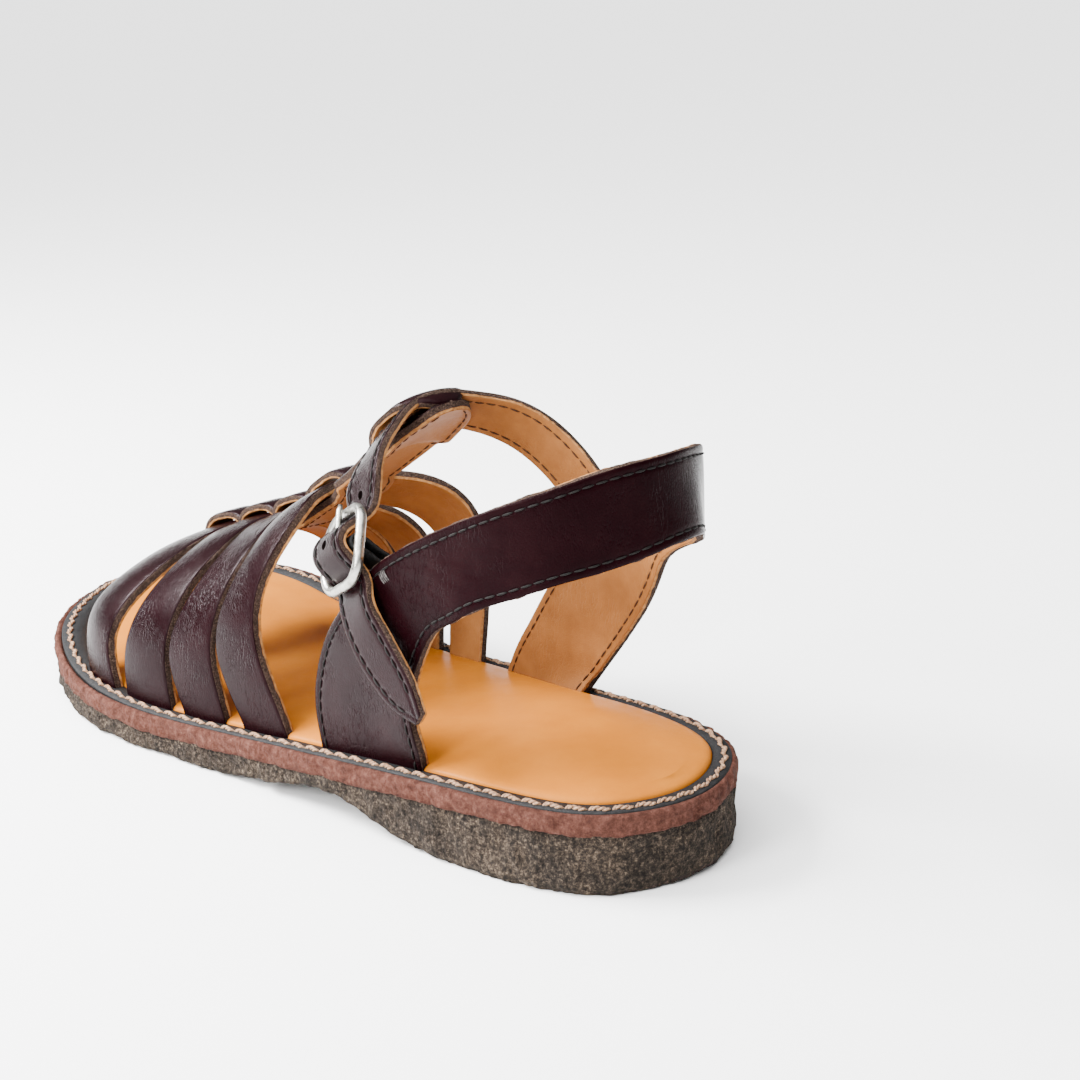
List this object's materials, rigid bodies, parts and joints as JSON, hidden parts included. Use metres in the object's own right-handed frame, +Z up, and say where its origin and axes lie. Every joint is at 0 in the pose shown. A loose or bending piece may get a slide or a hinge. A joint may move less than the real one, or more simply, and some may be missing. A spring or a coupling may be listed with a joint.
{
  "type": "buckle sandal",
  "caption": "Left open leather sandal with cross straps over the vamp, a centre strip, an ankle strap with a buckle, and a layered welted sole.",
  "frame": {"origin": "centre of the sole's bounding box, on the floor", "axes": "+Y toward the toe, -X toward the lateral side with the buckle, +Z up"},
  "size_m": [0.1066, 0.262, 0.1045],
  "materials": {
    "crepe_rubber": "matte, speckled",
    "midsole_leather": "rough napped edge",
    "welt_leather": "satin",
    "footbed_leather": "smooth satin",
    "strap_leather": "glossy outside, tan lining inside",
    "aged_nickel": "worn satin",
    "aged_nickel_prong": "worn satin",
    "black_elastic": "woven matte"
  },
  "bodies": {
    "root": {"outsole": "crepe_rubber", "midsole": "midsole_leather", "welt": "welt_leather", "footbed": "footbed_leather", "upper": "strap_leather", "buckle_frame": "aged_nickel", "buckle_prong": "aged_nickel_prong", "elastic_loop": "black_elastic"}
  },
  "joints": []
}
